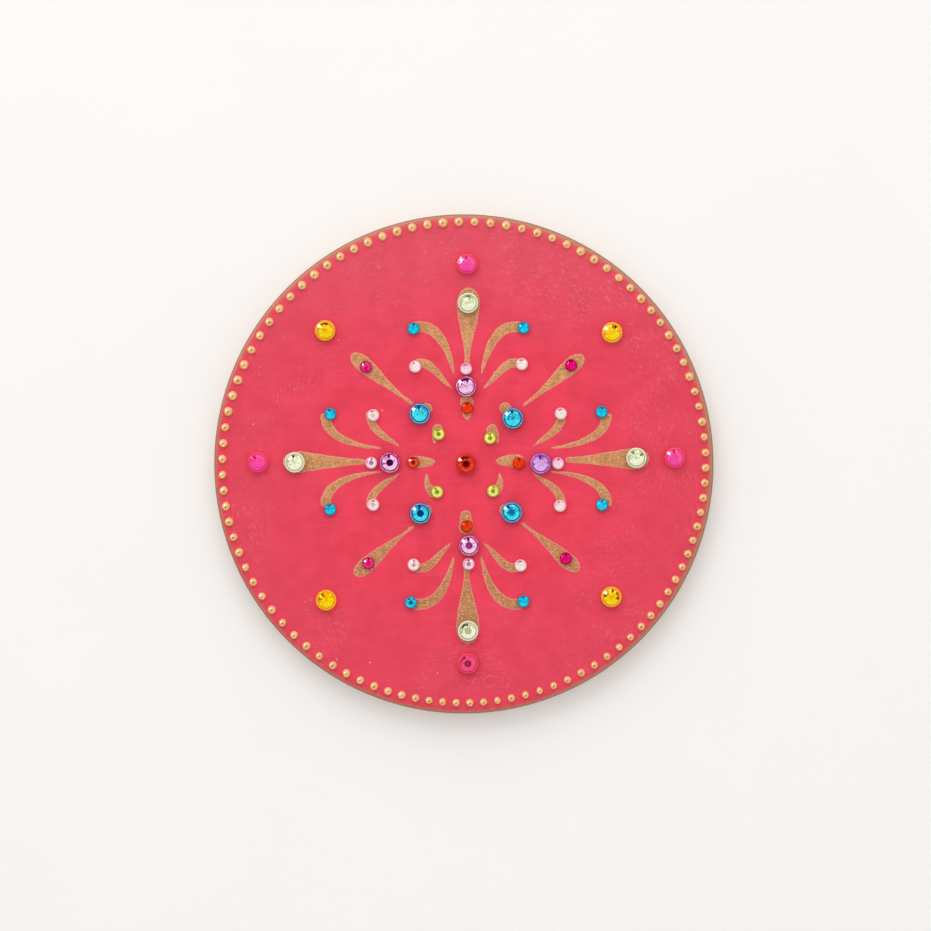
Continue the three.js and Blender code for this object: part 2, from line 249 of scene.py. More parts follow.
def board_finish():
    """Raw fibreboard: speckled fibres on the back, paler and streaked down the cut edge, and darker
    brown along the upper rim."""
    finish = Finish("board", Metallic=0.0)
    place = finish.place()
    radius = finish.radius(place)
    fibres = finish.noise(finish.mapped(place, (1, 1, 0.3)), 0.5 * MM, 5.0, 0.7)
    raw = finish.mottle(fibres, "8a6238", "b88f5e")
    cuts = finish.noise(finish.mapped(place, (1, 1, 0.06)), 0.35 * MM, 3.0)
    cut_face = finish.mottle(cuts, "b0957a", "dcc4a8", 0.3, 0.7)
    edge = finish.step(radius, BOARD_RADIUS - 0.5 * MM, BOARD_RADIUS - 0.2 * MM)
    bare = finish.blend(edge, raw, cut_face)
    lip = finish.step(finish.part(place, "Z"), BOARD_HIGH.z - 0.4 * MM, BOARD_HIGH.z - 0.1 * MM)
    brink = finish.step(radius, BOARD_RADIUS - 0.3 * MM, BOARD_RADIUS - 0.12 * MM)
    darker_upper_rim = finish.blend(brink, colour("b88068"), colour("845a48"))
    finish.paint(finish.blend(lip, bare, darker_upper_rim))
    finish.roughness(finish.step(fibres, 0.3, 0.7, 0.75, 0.95))
    finish.bump(finish.sum(fibres, cuts), 0.08 * MM, 0.6)
    return finish.material


def ground_finish():
    """The gold ground coat, which shows as a thin line round the red coat."""
    finish = Finish("gold_ground", Metallic=0.2, Roughness=0.5)
    grain = finish.noise(finish.place(), 0.3 * MM, 4.0, 0.7)
    finish.paint(finish.mottle(grain, "b0705a", "cc8e78"))
    finish.bump(grain, 0.02 * MM, 0.5)
    return finish.material


def gold_finish():
    """Gold paint dabbed through a stencil: short level ribs of olive, grains of peach, a paler fringe
    that blushes pink at the very edge, and a painted shade that makes the strokes browner towards the
    foot of the mandala, away from the light."""
    finish = Finish("gold_stroke", Metallic=0.1, Specular_IOR_Level=0.15)
    place = finish.place()
    ribs = finish.noise(finish.mapped(place, (0.4, 1, 1), 0.2), 0.34 * MM, 2.0, 0.6)
    grains = finish.noise(finish.mapped(place, (0.6, 1, 1), 0.2), 0.36 * MM, 3.0, 0.7)
    # Painted shade: the strokes are browner towards the foot of the mandala, away from the light
    painted_shade_foot = finish.step(finish.part(place, "Y"), 10 * MM, -40 * MM, 0.0, 0.75)
    inset = finish.sum(finish.attribute("inset"), finish.product(grains, -0.1 * MM))
    gold = finish.mottle(finish.noise(place, 2.2 * MM, 2.0), "c68454", "d49463")
    gold = finish.tint(gold, painted_shade_foot, "b8724c")
    gold = finish.tint(gold, finish.step(ribs, 0.5, 0.64, 0.0, 0.62), "96703c")
    gold = finish.tint(gold, finish.step(grains, 0.5, 0.64, 0.0, 0.75), "f2ba86")
    gold = finish.tint(gold, finish.step(inset, 0.08 * MM, 0.36 * MM, 0.7, 0.0), "ea9c82")
    gold = finish.tint(gold, finish.step(inset, -0.02 * MM, 0.14 * MM, 0.85, 0.0), "e0566a")
    finish.paint(gold)
    finish.roughness(finish.step(grains, 0.35, 0.7, 0.6, 0.35))
    finish.bump(finish.sum(ribs, grains), 0.05 * MM, 0.6)
    return finish.material


def brushed(finish, place, strokes):
    """Pink-red in soft patches, with faint level streaks."""
    red = finish.mottle(finish.noise(place, 6 * MM, 2.0), "e73b52", "f14159")
    return finish.tint(red, finish.step(strokes, 0.5, 0.75, 0.0, 0.2), "ee6078")


def scuffed(finish, place, rounds, north_east, red):
    """Red paint dulled towards the rim, with dusty scuffs, most of them at the upper right."""
    near_rim = finish.step(finish.radius(place), 0.45 * BOARD_RADIUS, 0.95 * BOARD_RADIUS)
    flecks = finish.step(finish.noise(place, 0.8 * MM, 4.0, 0.7), 0.42, 0.6)
    more_scuffed = finish.step(north_east, 20 * MM, 80 * MM, 0.0, 0.12)
    worn = finish.step(finish.sum(finish.noise(place, 13 * MM, 3.0), more_scuffed), 0.42, 0.66)
    scuffs = finish.product(finish.step(rounds, 0.46, 0.7), finish.product(near_rim, worn))
    broken = finish.product(scuffs, finish.sum(flecks, 0.2))
    red = finish.tint(red, finish.product(broken, 0.6), "e8959c")
    return finish.tint(red, finish.product(near_rim, 0.35), "d4485c")


def specks_and_sheen(finish, place, red):
    """Red paint with a few pale specks, and a painted sheen that makes it a little paler at the top of
    the mandala, towards the light.
    """
    specks = finish.step(finish.spots(place, 2.6 * MM), 0.1, 0.05)
    rare = finish.step(finish.noise(place, 4 * MM, 1.0), 0.65, 0.7)
    red = finish.tint(red, finish.product(specks, rare), "f4a6a8")
    # Painted sheen: the red is a little paler towards the top of the mandala, towards the light
    painted_sheen_top = finish.step(finish.part(place, "Y"), 20 * MM, 55 * MM, 0.0, 0.06)
    return finish.tint(red, painted_sheen_top, "e8a0a8")


def worn_at_rim(finish, place, rounds, north_east, red):
    """Red paint worn to tan along its chipped rim, most at the upper right."""
    more_worn = finish.step(north_east, -70 * MM, 70 * MM, -0.25 * MM, 0.3 * MM)
    chips = finish.noise(place, 0.9 * MM, 4.0, 0.7)
    chipped = finish.product(finish.sum(rounds, finish.product(chips, 2)), 1.2 * MM)
    worn_radius = finish.sum(finish.sum(finish.radius(place), more_worn), chipped)
    edge = finish.step(worn_radius, RED_RADIUS + 1.1 * MM, RED_RADIUS + 1.7 * MM, 0.0, 0.85)
    return finish.tint(red, edge, "c6745c")


def red_finish():
    """Brushed pink-red paint with dusty scuffs, a few pale specks and a worn rim."""
    finish = Finish("red_coat", Metallic=0.0, Specular_IOR_Level=0.12)
    place = finish.place()
    north_east = finish.sum(finish.part(place, "X"), finish.part(place, "Y"))
    strokes = finish.noise(finish.mapped(place, (0.08, 1, 1), 0.1), 0.5 * MM, 4.0)
    rounds = finish.noise(finish.round_and_round(place, 3), 0.55 * MM, 5.0, 0.75)
    red = brushed(finish, place, strokes)
    red = scuffed(finish, place, rounds, north_east, red)
    red = specks_and_sheen(finish, place, red)
    finish.paint(worn_at_rim(finish, place, rounds, north_east, red))
    streaks = finish.sum(strokes, rounds)
    finish.roughness(finish.step(streaks, 0.7, 1.3, 0.45, 0.62))
    finish.bump(streaks, 0.03 * MM, 0.4)
    return finish.material


def dot_finish():
    """Piped glossy gold paint: a cream crown with a painted dark reflection, olive, in its dimple,
    peach below it, orange at the foot; painted paler on the north side and more orange on the south, as
    painted light and shade.
    """
    finish = Finish(
        "gold_dot",
        Metallic=0.06,
        Roughness=0.35,
        Specular_IOR_Level=0.4,
        Coat_Weight=0.35,
        Coat_Roughness=0.15,
    )
    place = finish.place()
    swirl = finish.noise(place, 0.7 * MM, 3.0)
    flecks = finish.noise(place, 0.2 * MM, 2.0)
    out = finish.sum(finish.attribute("out"), finish.step(flecks, 0.3, 0.7, -0.09, 0.09))
    depth = finish.step(finish.noise(place, 3 * MM, 1.0), 0.35, 0.6, 0.25, 0.9)
    gold = finish.mottle(swirl, "e6b676", "f2ca8c")
    gold = finish.tint(gold, finish.step(out, 0.4, 0.75), "f0a674")
    gold = finish.tint(gold, finish.step(out, 0.82, 0.98), "ee8850")
    # Painted reflection: the dimple is painted olive, as a dark reflection, more strongly on some dots
    # than on others
    gold = finish.tint(gold, finish.product(finish.step(out, 0.46, 0.22), depth), "ac8430")
    finish.paint(gold)
    finish.bump(swirl, 0.06 * MM, 0.4)
    return finish.material


def stone_finish(kind, shades):
    """Glossy facets over coloured foil. The tone of a facet runs through the kind's shades, which paint
    the light and shade inside the stone: painted reflections of the foil, a painted lit side and shaded
    side, and painted dark facets and a painted dark middle.
    """
    finish = Finish(
        "stone_" + kind,
        Metallic=0.0,
        Roughness=0.3,
        Specular_IOR_Level=0.0,
        Coat_Roughness=0.02,
        Coat_IOR=1.5,
    )
    ripple = finish.noise(finish.place(), 0.45 * MM, 2.0)
    tone = finish.sum(finish.attribute("tone"), finish.step(ripple, 0.3, 0.7, -0.03, 0.03))
    finish.paint(finish.ramp(tone, [colour(shade) for shade in shades]))
    finish.feed(finish.shader.inputs["Coat Weight"], finish.attribute("polish"))
    return finish.material


def mesh_of(name, points, faces, smooth_angle=35.0):
    """A mesh that is smooth but for edges sharper than the angle, in degrees."""
    mesh = bpy.data.meshes.new(name)
    mesh.from_pydata(points, [], faces)
    mesh.shade_smooth()
    mesh.set_sharp_from_angle(angle=math.radians(smooth_angle))
    mesh.update()
    return mesh


def piece(name, mesh, slot, material, *nodes):
    """A shown piece that rides on the part and hides its CAD nodes, if it has any."""
    mesh.materials.append(material)
    made = bpy.data.objects.new(name, mesh)
    bpy.context.scene.collection.objects.link(made)
    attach(made, "root")
    if nodes:
        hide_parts(*nodes)


def arc(centre, radius, start, end, steps):
    """Profile points on an arc, with angles in degrees from +radius towards +height."""
    turns = [math.radians(start + (end - start) * i / steps) for i in range(steps + 1)]
    return [(centre[0] + radius * math.cos(t), centre[1] + radius * math.sin(t)) for t in turns]


def ring_faces(rings, sides, start=0):
    """The quads between rings of points that follow each other upwards, from point start on."""
    faces = []
    for ring in range(rings - 1):
        for side in range(sides):
            a = start + ring * sides + side
            b = start + ring * sides + (side + 1) % sides
            faces.append((a, b, b + sides, a + sides))
    return faces


def end_faces(count, sides):
    """The flat faces over the first and the last ring of a solid with count points."""
    return [tuple(reversed(range(sides))), tuple(range(count - sides, count))]


def lathe(profile, sides, reach):
    """A closed solid of revolution. The profile's ends are flat faces, and reach moves the
    surface out by an amount for each angle and height."""
    points = []
    for radius, height in profile:
        for side in range(sides):
            angle = side / sides * TURN
            r = radius + reach(angle, height)
            points.append((r * math.cos(angle), r * math.sin(angle), height))
    return points, ring_faces(len(profile), sides) + end_faces(len(points), sides)


def board():
    """The board, with eased rims and the fine ridges of a cut edge."""
    low, high = BOARD_EASE, BOARD_HIGH.z - BOARD_EASE
    inner = BOARD_RADIUS - BOARD_EASE
    profile = [
        *arc((inner, low), BOARD_EASE, -90, 0, 4),
        *[(BOARD_RADIUS, low + (high - low) * i / 6) for i in range(1, 6)],
        *arc((inner, high), BOARD_EASE, 0, 90, 4),
    ]

    def reach(angle, height):
        way = Vector((math.cos(angle), math.sin(angle), 0)) * BOARD_RADIUS
        fine = noise.noise((way + Vector((0, 0, height * 0.2))) / (0.6 * MM))
        broad = noise.noise((way + Vector((0, 0, height))) / (5 * MM))
        return -BOARD_RIDGE * (0.6 + 0.25 * fine + 0.15 * broad)

    mesh = mesh_of("board", *lathe(profile, RIM_SIDES, reach))
    piece("board", mesh, "board", board_finish(), "wooden_disc")


def ground_coat():
    """The gold film under the red one, with a slightly uneven rim."""
    low = GROUND_LOW.z
    thick = GROUND_HIGH.z - low
    profile = [(GROUND_RADIUS, low), *arc((GROUND_RADIUS - thick, low), thick, 15, 90, 4)]

    def reach(angle, height):
        way = Vector((math.cos(angle), math.sin(angle), 0)) * GROUND_RADIUS
        return -GROUND_NICK * (1 + noise.noise(way / GROUND_NICK_SIZE))

    mesh = mesh_of("ground_coat", *lathe(profile, INNER_SIDES, reach))
    piece("gold_ground", mesh, "gold_paint", ground_finish(), "gold_ground_coat")


def top_loops(node):
    """The closed outlines of a node's flat top, the longest first, each as points in order that
    keep the top on their left."""
    mesh = frame["nodes"][node].data
    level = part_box(node)[1].z - WELD
    ahead = {}
    for polygon in mesh.polygons:
        corners = [mesh.vertices[i].co for i in polygon.vertices]
        if min(corner.z for corner in corners) < level:
            continue
        keys = [(round(corner.x / WELD), round(corner.y / WELD)) for corner in corners]
        for a, b in zip(keys, keys[1:] + keys[:1]):
            # An edge that two faces share goes both ways, and is no part of an outline
            if ahead.get(b) and a in ahead[b]:
                ahead[b].remove(a)
            else:
                ahead.setdefault(a, set()).add(b)
    ahead = {a: found.pop() for a, found in ahead.items() if found}
    loops = []
    while ahead:
        start, key = ahead.popitem()
        loop = [start]
        while key != start:
            loop.append(key)
            key = ahead.pop(key)
        loops.append([Vector(found) * WELD for found in loop])
    return sorted(loops, key=outline_length, reverse=True)


def outline_length(outline):
    """How long a closed outline is, all the way round."""
    return sum((a - b).length for a, b in zip(outline, outline[1:] + outline[:1]))


def on_curve(p0, p1, p2, p3, share):
    """A point between p1 and p2 on a centripetal Catmull-Rom curve through all four."""
    t1 = math.sqrt((p1 - p0).length)
    t2 = t1 + math.sqrt((p2 - p1).length)
    t3 = t2 + math.sqrt((p3 - p2).length)
    t = t1 + share * (t2 - t1)
    a1 = p0.lerp(p1, t / t1)
    a2 = p1.lerp(p2, (t - t1) / (t2 - t1))
    a3 = p2.lerp(p3, (t - t2) / (t3 - t2))
    b1 = a1.lerp(a2, t / t2)
    b2 = a2.lerp(a3, (t - t1) / (t3 - t1))
    return b1.lerp(b2, (t - t1) / (t2 - t1))


def smoothed(loop):
    """A smooth closed outline through a loop's points."""
    count = len(loop)
    outline = []
    for i in range(count):
        four = [loop[(i + j) % count] for j in (-1, 0, 1, 2)]
        steps = max(1, round((four[2] - four[1]).length / OUTLINE_STEP))
        outline += [on_curve(*four, step / steps) for step in range(steps)]
    return outline


def ragged(outline):
    """An outline with the small nicks of a painted edge."""
    count = len(outline)
    moved = []
    for i, point in enumerate(outline):
        way = outline[(i + 1) % count] - outline[i - 1]
        side = Vector((way.y, -way.x)).normalized()
        nick = noise.noise(point.to_3d() / EDGE_NICK_SIZE)
        wave = noise.noise(point.to_3d() / (4 * EDGE_NICK_SIZE))
        moved.append(point + side * EDGE_RAGGEDNESS * (nick + 0.6 * wave))
    return moved


def circle(centre, radius, steps):
    """The points of a circle, in order."""
    turns = [i / steps * TURN for i in range(steps)]
    return [centre + radius * Vector((math.cos(t), math.sin(t))) for t in turns]


def pointing(degrees):
    """The direction at an angle from +X towards +Y."""
    angle = math.radians(degrees)
    return Vector((math.cos(angle), math.sin(angle)))


def inside(point, outline):
    """True if a point lies inside a closed outline."""
    within = False
    for a, b in zip(outline, outline[1:] + outline[:1]):
        if (a.y > point.y) != (b.y > point.y):
            if point.x < a.x + (point.y - a.y) / (b.y - a.y) * (b.x - a.x):
                within = not within
    return within


def scattered(low, high, step, draw):
    """Points of a jittered grid over a box."""
    columns = int((high.x - low.x) / step) + 1
    rows = int((high.y - low.y) / step) + 1
    for row in range(rows):
        for column in range(columns):
            jitter = Vector((draw.uniform(-JITTER, JITTER), draw.uniform(-JITTER, JITTER)))
            yield low + (Vector((column, row)) + jitter) * step


def lowest_and_highest(outline):
    """The corners of the box round an outline."""
    xs = [point.x for point in outline]
    ys = [point.y for point in outline]
    return Vector((min(xs), min(ys))), Vector((max(xs), max(ys)))


def edge_tree(outlines):
    """A search tree of all the points of some outlines."""
    points = [point for outline in outlines for point in outline]
    tree = kdtree.KDTree(len(points))
    for i, point in enumerate(points):
        tree.insert(point.to_3d(), i)
    tree.balance()
    return tree


def stroke_points(outline, draw):
    """Points inside a stroke, clear of its edge."""
    near = edge_tree([outline])
    for point in scattered(*lowest_and_highest(outline), STROKE_POINT_STEP, draw):
        if near.find(point.to_3d())[2] > 0.5 * STROKE_POINT_STEP and inside(point, outline):
            yield point


def triangulated(outlines, points):
    """(points, triangles, the outlines that each triangle lies in) of a flat area."""
    spots, rings = [], []
    for outline in outlines:
        rings.append(list(range(len(spots), len(spots) + len(outline))))
        spots += outline
    spots += points
    flat = [spot / MM for spot in spots]
    made = geometry.delaunay_2d_cdt(flat, [], rings, 1, MERGE_MM)
    return [spot * MM for spot in made[0]], made[2], made[5]


def film(name, points, triangles, bottom, height):
    """A closed film: triangles at the height of each of their points, a flat underside at the
    bottom, and walls round every edge."""
    used = sorted({i for triangle in triangles for i in triangle})
    order = {i: n for n, i in enumerate(used)}
    count = len(used)
    tops = [(*points[i], height(points[i])) for i in used]
    feet = [(*points[i], bottom) for i in used]
    upper = [tuple(order[i] for i in triangle) for triangle in triangles]
    lower = [tuple(count + i for i in reversed(face)) for face in upper]
    sides = {(a, b) for face in upper for a, b in zip(face, face[1:] + face[:1])}
    walls = [(b, a, count + a, count + b) for a, b in sides if (b, a) not in sides]
    return mesh_of(name, tops + feet, upper + lower + walls, 60.0)


def rounded(share):
    """The height, as a share of the whole, of a rounded edge at a share of its width."""
    return math.sqrt(share * (2 - share))


def coat_rim():
    """The red coat's outline, worn back a little here and there."""
    rim = circle(RED_CENTRE, RED_RADIUS + RIM_REACH, RIM_SIDES)
    wear = [RIM_REACH / 2 * (1 + noise.noise(point.to_3d() / RIM_WEAR_SIZE)) for point in rim]
    return [point - (point - RED_CENTRE).normalized() * back for point, back in zip(rim, wear)]


def coat_points(windows, shoulder, near):
    """Points inside the strokes, and between them up to the coat's shoulder."""
    draw = random.Random(11)
    points = [point for outline in windows for point in stroke_points(outline, draw)]
    furthest = RED_RADIUS - COAT_EDGE_WIDTH - COAT_POINT_STEP / 2
    for point in scattered(*lowest_and_highest(shoulder), COAT_POINT_STEP, draw):
        within = (point - RED_CENTRE).length < furthest
        if within and near.find(point.to_3d())[2] > 0.5 * COAT_POINT_STEP:
            points.append(point)
    return points


def coat_height(point):
    """The height of the red coat, which has a soft relief and rounds down at its rim."""
    inward = RED_RADIUS - (point - RED_CENTRE).length
    edge = min(1.0, max(0.0, inward / COAT_EDGE_WIDTH))
    relief = COAT_RELIEF * (0.5 + 0.5 * noise.noise(point.to_3d() / COAT_RELIEF_SIZE))
    return RED_LOW.z + (FACE - relief - RED_LOW.z) * rounded(edge) + WELD


def painted_coats():
    """The red coat with a window for each stroke, and the gold strokes that fill the windows."""
    holes = top_loops("red_top_coat")[1:]
    windows = [ragged(smoothed(hole[::-1])) for hole in holes]
    near = edge_tree(windows)
    shoulder = circle(RED_CENTRE, RED_RADIUS - COAT_EDGE_WIDTH - RIM_REACH, INNER_SIDES)
    rims = [coat_rim(), shoulder]
    seeds = coat_points(windows, shoulder, near)
    points, triangles, owners = triangulated([*rims, *windows], seeds)

    def stroke_height(point):
        inset = min(near.find(point.to_3d())[2] / STROKE_SHOULDER, 1.0)
        relief = STROKE_RELIEF * noise.noise(point.to_3d() / STROKE_RELIEF_SIZE)
        return FACE - STROKE_RELIEF + (STROKE_RISE + relief) * rounded(inset)

    in_stroke = [any(owner >= len(rims) for owner in found) for found in owners]
    red = [t for t, gold in zip(triangles, in_stroke) if not gold]
    gold = [t for t, gold in zip(triangles, in_stroke) if gold]
    red_mesh = film("red_coat", points, red, RED_LOW.z, coat_height)
    piece("red_coat", red_mesh, "red_paint", red_finish(), "red_top_coat")
    gold_mesh = film("gold_strokes", points, gold, GROUND_HIGH.z, stroke_height)
    insets = [near.find((vertex.co.x, vertex.co.y, 0))[2] for vertex in gold_mesh.vertices]
    gold_mesh.attributes.new("inset", "FLOAT", "POINT").data.foreach_set("value", insets)
    piece("gold_strokes", gold_mesh, "gold_paint", gold_finish())


def dot_places():
    """The centre of each piped dot: the top points of the ring in the frame."""
    mesh = frame["nodes"]["gold_bead_border"].data
    tops = {}
    for vertex in mesh.vertices:
        if vertex.co.z > DOTS_HIGH.z - WELD:
            tops[(round(vertex.co.x / MM, 1), round(vertex.co.y / MM, 1))] = vertex.co.to_2d()
    return [tops[key] for key in sorted(tops)]


# The rings of points of a dot, from its foot to the dimple in its top: shares of its radius and height
DOT_RINGS = [
    (1, 0),
    (0.99, 0.17),
    (0.96, 0.34),
    (0.9, 0.52),
    (0.8, 0.7),
    (0.66, 0.86),
    (0.52, 0.96),
    (0.4, 1),
    (0.26, 0.96),
    (0.12, 0.91),
]


def dot_points(centre, draw):
    """The points of a dot, a flattened drop with a dimple in its top, and how far out each one is, from
    0 in the middle to about 1 at the foot, counted further in on the north side so that its colour
    bands paint light and shade. No two dots are quite alike."""
    broad = 1 + 0.1 * centre.normalized().dot(BROAD_WAY)
    radius = DOT_RADIUS * broad * draw.uniform(0.9, 1.04)
    tall = (DOTS_HIGH.z - DOTS_LOW.z) * draw.uniform(0.72, 0.96)
    lean = Vector((draw.uniform(-0.12, 0.1), draw.uniform(-0.52, -0.26))) * radius
    squeeze = draw.uniform(0.93, 1.0)
    turn = draw.uniform(0, TURN)
    drop = Matrix.Rotation(turn, 2) @ Matrix.Diagonal((1, squeeze)) @ Matrix.Rotation(-turn, 2)
    points, outs = [], []
    for out, rise in DOT_RINGS:
        for side in range(DOT_SIDES):
            way = pointing(side / DOT_SIDES * 360)
            wobble = 1 + 0.09 * noise.noise((way * 1.4 + centre / (5 * MM)).to_3d())
            spot = centre + drop @ (way * radius * out * wobble) + lean * (1 - out)
            points.append((*spot, FACE - COAT_RELIEF + (tall + COAT_RELIEF) * rise))
            # The north side counts as further in: painted paler there, as painted light, and more
            # orange on the south side, as painted shade
            outs.append(out * (1 - 0.15 * way.y))
    points.append((*(centre + lean), FACE + tall * (1 - DIMPLE_DEPTH)))
    outs.append(0)
    return points, outs


def dot_faces(start):
    """The closed faces of a dot whose points begin at start."""
    last = start + (len(DOT_RINGS) - 1) * DOT_SIDES
    middle = last + DOT_SIDES
    dimple = [(last + side, last + (side + 1) % DOT_SIDES, middle) for side in range(DOT_SIDES)]
    foot = tuple(reversed(range(start, start + DOT_SIDES)))
    return [*ring_faces(len(DOT_RINGS), DOT_SIDES, start), *dimple, foot]


def piped_dots():
    """The ring of dots."""
    draw = random.Random(7)
    points, faces, outs = [], [], []
    for place in dot_places():
        faces += dot_faces(len(points))
        more_points, more_outs = dot_points(place + DOT_SAG, draw)
        points += more_points
        outs += more_outs
    mesh = mesh_of("gold_dots", points, faces, 80.0)
    mesh.attributes.new("out", "FLOAT", "POINT").data.foreach_set("value", outs)
    piece("gold_dots", mesh, "bead_paint", dot_finish(), "gold_bead_border")


# Colours of each kind of stone: darkest painted facet, ring, shade, table, lit side and rim. All but
# the table paint light and shade inside the stone: painted dark reflections, the painted dark ring and
# bright rim of the foil's reflections, and painted shade and painted light on its two sides.
KINDS = {
    "deep_red": ("4a0000", "c4160e", "b0120c", "dc2010", "fe4820", "d02822"),
    "red": ("6c0c04", "cc2c18", "bc2c14", "ea360c", "fa4a14", "b83c1c"),
    "purple": ("44083c", "840c5c", "c068b0", "ffc4ea", "ffe0fa", "dc3478"),
    "violet": ("502070", "8c3c9c", "b070bc", "dca2de", "f0c4f8", "a462b8"),
    "lilac": ("604858", "e094ac", "f8a8c4", "fad6e4", "fff2fa", "f4b0c8"),
    "green": ("1c240c", "b4b890", "b8bc90", "f2f6ca", "fffff0", "f0e6c6"),
    "pink": ("7c1c44", "ec3064", "e83c7c", "ff58a2", "ff34b0", "f4546c"),
    "coral": ("702038", "e03458", "dc4064", "f85a80", "fc4c8c", "ea4e6a"),
    "blue": ("003448", "00488c", "0878a4", "38dcee", "50f4ff", "5c94c8"),
    "lime": ("487004", "c4a848", "b4c044", "ecf070", "ffff88", "c8b458"),
    "magenta": ("540428", "b81044", "b8084c", "ec0478", "ff0c8c", "b0145c"),
    "yellow": ("3c2c04", "f09c0c", "e49404", "ffd204", "ffe81c", "f4a030"),
    "sky": ("043c60", "5480a0", "1484ac", "06c6ec", "30e8fa", "489ccc"),
    "rose": ("7c5c64", "f0b4b0", "ecc0bc", "fae8e6", "fffaf8", "f2c4c0"),
}
# Tones of the painted light and shade of a stone, from its darkest painted facet to its bright rim
PAINTED_DARKEST, RING, SHADE, TABLE, LIT, RIM = [i / 5 for i in range(6)]

# Stones whose tint is off that of their kind
ODD_TINTS = {"east_purple": "violet", "south_pink": "coral"}

# Stones over this radius are large. The facets round a large and a small stone, and their bands from
# the back to the table. The last four bands are the crown: the outer two hold the painted dark facets,
# and the inner two hold the stone's painted dark middle, a painted dark reflection.
LARGE_RADIUS = 2 * MM
LARGE_SIDES = 16
SMALL_SIDES = 12
LARGE_BANDS = [
    # share of the radius, share of the height, turn in facets, tone of the band above
    (0.82, 0, 0, RING),
    (1, 0.3, 0, RING),
    (1, 0.68, 0, RING),
    (0.965, 0.73, 0, RIM),
    (0.86, 0.776, 0, RING),
    (0.74, 0.84, 0, TABLE),
    (0.55, 0.94, 0, TABLE),
    (0.35, 0.985, 0.5, TABLE),
    (0.15, 1, 0, TABLE),
]
SMALL_BANDS = [
    (0.82, 0, 0, RING),
    (1, 0.25, 0, RING),
    (1, 0.6, 0, RING),
    (0.89, 0.7, 0, SHADE),
    (0.8, 0.8, 0, TABLE),
    (0.54, 0.917, 0, TABLE),
    (0.35, 0.98, 0.5, TABLE),
    (0.14, 1, 0, TABLE),
]
CROWN_BANDS = 4

# How strongly the painted dark middle of a stone shows, a painted dark reflection in its table, and how
# faintly in all the others
PAINTED_PUPILS = {
    "centre_red": 0.95,
    "west_red": 0.9,
    "west_purple": 1.0,
    "south_purple": 0.6,
    "west_lilac": 0.85,
    "south_lilac": 0.8,
    "south_green": 0.5,
    "south_pink": 0.9,
    "southwest_blue": 0.82,
    "southeast_blue": 0.4,
    "northwest_lime": 0.84,
    "northeast_lime": 0.84,
    "southeast_lime": 0.84,
    "southwest_lime": 0.84,
    "south_left_sky": 0.9,
    "south_left_rose": 0.8,
    "west_lower_rose": 0.7,
    "west_upper_rose": 0.4,
}
FAINT_PAINTED_PUPIL = 0.02

# Directions, in degrees from +X towards +Y: the facet that catches the light, the painted dark far side
# and the painted lit near side of a stone, and its painted dark facets, which are its darkest facets.
# Then how far out the painted dark facets are, as a share of the radius.
GLINT_WAY = 145
FAR_WAY = 118
NEAR_WAY = -80
PAINTED_DARK_FACET_WAYS = {
    "east_green": (38, 120),
    "north_green": (86,),
    "south_green": (105, 128),
    "west_green": (109,),
    "west_pink": (124,),
    "south_pink": (130,),
    "north_purple": (115, 75),
    "northeast_yellow": (64, 78),
    "northwest_yellow": (107, 88),
    "southeast_yellow": (158, 86, 27, -18),
    "southwest_yellow": (162, 122),
    "centre_red": (126, 100, 78),
    "northwest_blue": (108, 90),
    "southeast_blue": (115,),
}
USUAL_PAINTED_DARK_FACET_WAYS = (98,)
PAINTED_DARK_FACET_RADIUS = 0.61

# Stones that shine, how much the others do, and how much the sides of a stone do
CATCH_LIGHT = {
    "centre_red",
    "west_red",
    "north_pink",
    "east_pink",
    "north_purple",
    "south_purple",
    "northeast_blue",
    "northwest_blue",
    "southeast_blue",
    "southwest_blue",
    "northeast_yellow",
    "northwest_yellow",
    "southeast_yellow",
    "northwest_magenta",
    "southwest_magenta",
}
DULL_SHINE = 0.1
SIDE_SHINE = 0.2


def facets(bands, sides, turn, radius, height):
    """(points, faces, the band of each face) of a closed faceted stone that stands on its back."""
    points, faces, owners = [], [], []
    for share, rise, shift, _ in bands:
        for side in range(sides):
            flat = pointing((side + shift) / sides * 360 + turn) * radius * share
            points.append((*flat, height * rise))
    for band in range(len(bands) - 1):
        shift = bands[band + 1][2] - bands[band][2]
        for side in range(sides):
            a = band * sides + side
            b = band * sides + (side + 1) % sides
            c, d = a + sides, b + sides
            if shift > 0:
                made = [(a, b, c), (b, d, c)]
            elif shift < 0:
                made = [(a, b, d), (a, d, c)]
            else:
                made = [(a, b, d, c)]
            faces += made
            owners += [band] * len(made)
    return points, faces + end_faces(len(points), sides), [*owners, 0, len(bands) - 1]


def facet_tone(tone, on_crown, out, draw):
    """A band's tone, varied for a facet at a place on the stone: the crown is painted brighter on the
    lit near side and painted darker and most uneven on the shaded far side, as painted light and shade;
    the rim is painted towards the lit colour on the near side."""
    # Painted shade on the far side of the stone and painted light on its near side
    painted_shaded_side = max(0.0, out.dot(pointing(FAR_WAY)))
    painted_lit_side = max(0.0, out.dot(pointing(NEAR_WAY)))
    if on_crown:
        uneven = draw.uniform(-0.9, 0.7) * (0.17 + 0.45 * painted_shaded_side)
        return tone + painted_lit_side * (LIT - TABLE) * 1.3 - painted_shaded_side * 0.06 + uneven
    if tone == RIM:
        return tone - draw.uniform(0, 0.06) - 0.06 * painted_lit_side
    return tone + draw.uniform(-0.03, 0.03)


